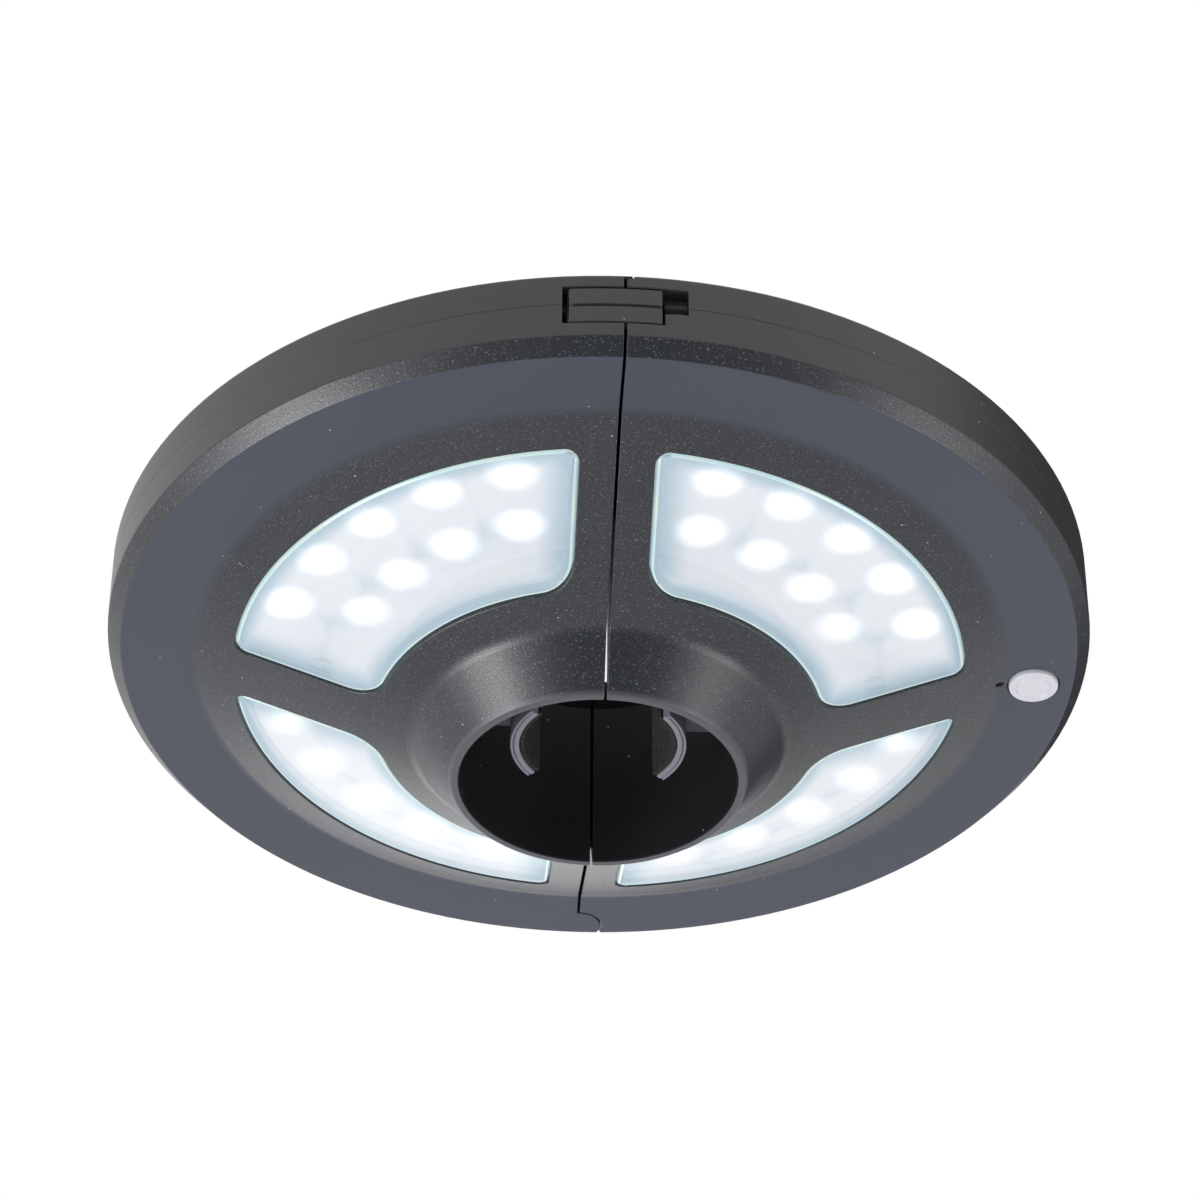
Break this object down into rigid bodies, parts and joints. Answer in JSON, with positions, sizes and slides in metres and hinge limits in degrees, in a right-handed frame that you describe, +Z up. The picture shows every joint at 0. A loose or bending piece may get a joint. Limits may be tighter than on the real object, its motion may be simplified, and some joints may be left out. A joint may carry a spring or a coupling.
{
  "type": "patio umbrella light",
  "caption": "Round battery light that hinges open, closes round an umbrella pole and grips it with sprung jaws; frosted lenses face down.",
  "frame": {"origin": "on the pole's axis, level with the lower edge of the outer wall, inside the jaws' grip", "axes": "+Z up along the pole, the light shines down -Z; the seam lies on the YZ plane with the latch on -Y and the hinge on +Y"},
  "size_m": [0.225, 0.225, 0.0522],
  "materials": {
    "casing": "moulded dark grey plastic, finely textured",
    "lens": "frosted translucent white",
    "board": "white solder mask",
    "emitter": "light-emitting window",
    "jaw": "moulded mid grey plastic",
    "rubber": "soft grip",
    "steel": "plated",
    "cell": "plain sleeve",
    "button": "satin light grey",
    "switch": "plain",
    "circuit": "solder mask"
  },
  "bodies": {
    "left_half": {"left_face_casing": "casing", "left_back_casing": "casing", "left_near_lens": "lens", "left_far_lens": "lens", "left_light_board": "board", "left_leds": "emitter", "left_jaw_guide": "casing", "left_jaw_spring": "steel", "left_inner_cell": "cell", "left_outer_cell": "cell", "left_contacts": "steel", "left_hook_pin": "steel", "left_screws": "steel", "hinge_pin": "steel", "latch_pin": "steel"},
    "right_half": {"right_face_casing": "casing", "right_back_casing": "casing", "right_near_lens": "lens", "right_far_lens": "lens", "right_light_board": "board", "right_leds": "emitter", "right_jaw_guide": "casing", "right_jaw_spring": "steel", "right_inner_cell": "cell", "right_outer_cell": "cell", "right_contacts": "steel", "right_hook_pin": "steel", "right_screws": "steel", "switch_body": "switch", "switch_board": "circuit", "indicator_light": "emitter"},
    "latch": {"latch_lever": "casing"},
    "button": {"power_button": "button", "switch_plunger": "switch"},
    "left_grip": {"left_jaw": "jaw", "left_jaw_pad": "rubber"},
    "left_door": {"left_battery_door": "casing"},
    "left_hanger": {"left_hook": "casing"},
    "right_grip": {"right_jaw": "jaw", "right_jaw_pad": "rubber"},
    "right_door": {"right_battery_door": "casing"},
    "right_hanger": {"right_hook": "casing"}
  },
  "joints": [
    {"name": "half_hinge", "type": "hinge", "parent": "left_half", "child": "right_half", "pos_m": [0, 0.1065, 0.007], "axis": [0, 0, 1], "range_deg": [0, 75]},
    {"name": "latch_hinge", "type": "hinge", "parent": "left_half", "child": "latch", "pos_m": [-0.0096, -0.10944, 0.00855], "axis": [0, 0, -1], "range_deg": [0, 75]},
    {"name": "button_push", "type": "slide", "parent": "right_half", "child": "button", "axis": [0, 0, 1], "range_m": [0, 0.0008], "stiffness_N_per_m": 800},
    {"name": "left_jaw_slide", "type": "slide", "parent": "left_half", "child": "left_grip", "axis": [-1, 0, 0], "range_m": [0, 0.008], "stiffness_N_per_m": 400, "deforming": ["left_jaw_spring"]},
    {"name": "left_door_hinge", "type": "hinge", "parent": "left_half", "child": "left_door", "pos_m": [-0.06025, 0.0305, 0.0172], "axis": [-1, 0, 0], "range_deg": [0, 70]},
    {"name": "left_hook_hinge", "type": "hinge", "parent": "left_half", "child": "left_hanger", "pos_m": [-0.1045, 0, 0.0153], "axis": [0, -1, 0], "range_deg": [0, 90]},
    {"name": "right_jaw_slide", "type": "slide", "parent": "right_half", "child": "right_grip", "axis": [1, 0, 0], "range_m": [0, 0.008], "stiffness_N_per_m": 400, "deforming": ["right_jaw_spring"]},
    {"name": "right_door_hinge", "type": "hinge", "parent": "right_half", "child": "right_door", "pos_m": [0.06025, 0.0305, 0.0172], "axis": [-1, 0, 0], "range_deg": [0, 70]},
    {"name": "right_hook_hinge", "type": "hinge", "parent": "right_half", "child": "right_hanger", "pos_m": [0.1045, 0, 0.0153], "axis": [0, 1, 0], "range_deg": [0, 90]}
  ]
}
